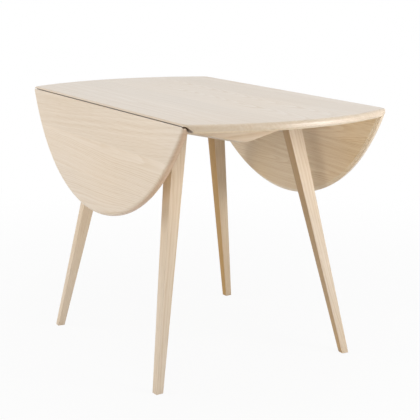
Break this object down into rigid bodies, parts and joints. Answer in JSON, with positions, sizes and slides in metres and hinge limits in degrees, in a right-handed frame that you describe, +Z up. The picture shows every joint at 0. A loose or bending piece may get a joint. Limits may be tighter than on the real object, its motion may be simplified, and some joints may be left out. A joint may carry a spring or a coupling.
{
  "type": "drop-leaf table",
  "caption": "Oval wooden drop-leaf table on splayed square legs, with hinged leaves that swinging wings hold up.",
  "frame": {"origin": "on the floor, below the middle of the top", "axes": "+X along the hinge lines towards the right end, +Y towards the back leaf, +Z up"},
  "size_m": [1.13, 0.6784, 0.75],
  "materials": {
    "ash": "pale ash, whitened, clear matt lacquer",
    "brass": "satin, unlacquered",
    "zinc_steel": "zinc plated"
  },
  "bodies": {
    "frame": {"bracket_screws": "zinc_steel", "centre_top": "ash", "corner_block_back_left": "ash", "corner_block_back_right": "ash", "corner_block_front_left": "ash", "corner_block_front_right": "ash", "end_rail_left": "ash", "end_rail_right": "ash", "hinge_pins_back": "brass", "hinge_pins_front": "brass", "hinge_top_flaps_back": "brass", "hinge_top_flaps_front": "brass", "hinge_top_screws_back": "brass", "hinge_top_screws_front": "brass", "leg_back_left": "ash", "leg_back_right": "ash", "leg_bolts": "zinc_steel", "leg_front_left": "ash", "leg_front_right": "ash", "leg_nuts": "zinc_steel", "leg_washers": "zinc_steel", "side_rail_back": "ash", "side_rail_front": "ash", "top_screws": "zinc_steel", "wing_bracket_back": "zinc_steel", "wing_bracket_front": "zinc_steel", "wing_pin_back": "zinc_steel", "wing_pin_front": "zinc_steel"},
    "front_leaf": {"leaf_front": "ash", "hinge_leaf_flaps_front": "brass", "hinge_leaf_screws_front": "brass"},
    "front_wing": {"wing_front": "ash"},
    "back_leaf": {"leaf_back": "ash", "hinge_leaf_flaps_back": "brass", "hinge_leaf_screws_back": "brass"},
    "back_wing": {"wing_back": "ash"}
  },
  "joints": [
    {"name": "front_leaf_hinge", "type": "hinge", "parent": "frame", "child": "front_leaf", "pos_m": [0, -0.3135, 0.745], "axis": [-1, 0, 0], "range_deg": [0, 86]},
    {"name": "front_wing_pivot", "type": "hinge", "parent": "frame", "child": "front_wing", "pos_m": [0.045, -0.206, 0.7277], "axis": [-0.4695, 0, 0.8829], "range_deg": [0, 90]},
    {"name": "back_leaf_hinge", "type": "hinge", "parent": "frame", "child": "back_leaf", "pos_m": [0, 0.3135, 0.745], "axis": [1, 0, 0], "range_deg": [0, 86]},
    {"name": "back_wing_pivot", "type": "hinge", "parent": "frame", "child": "back_wing", "pos_m": [0.045, 0.206, 0.7277], "axis": [0.4695, 0, -0.8829], "range_deg": [0, 90]}
  ],
  "couplings": [
    {"joint": "front_wing_pivot", "follows": "front_leaf_hinge", "ratio": 1.0465},
    {"joint": "back_wing_pivot", "follows": "back_leaf_hinge", "ratio": 1.0465}
  ]
}
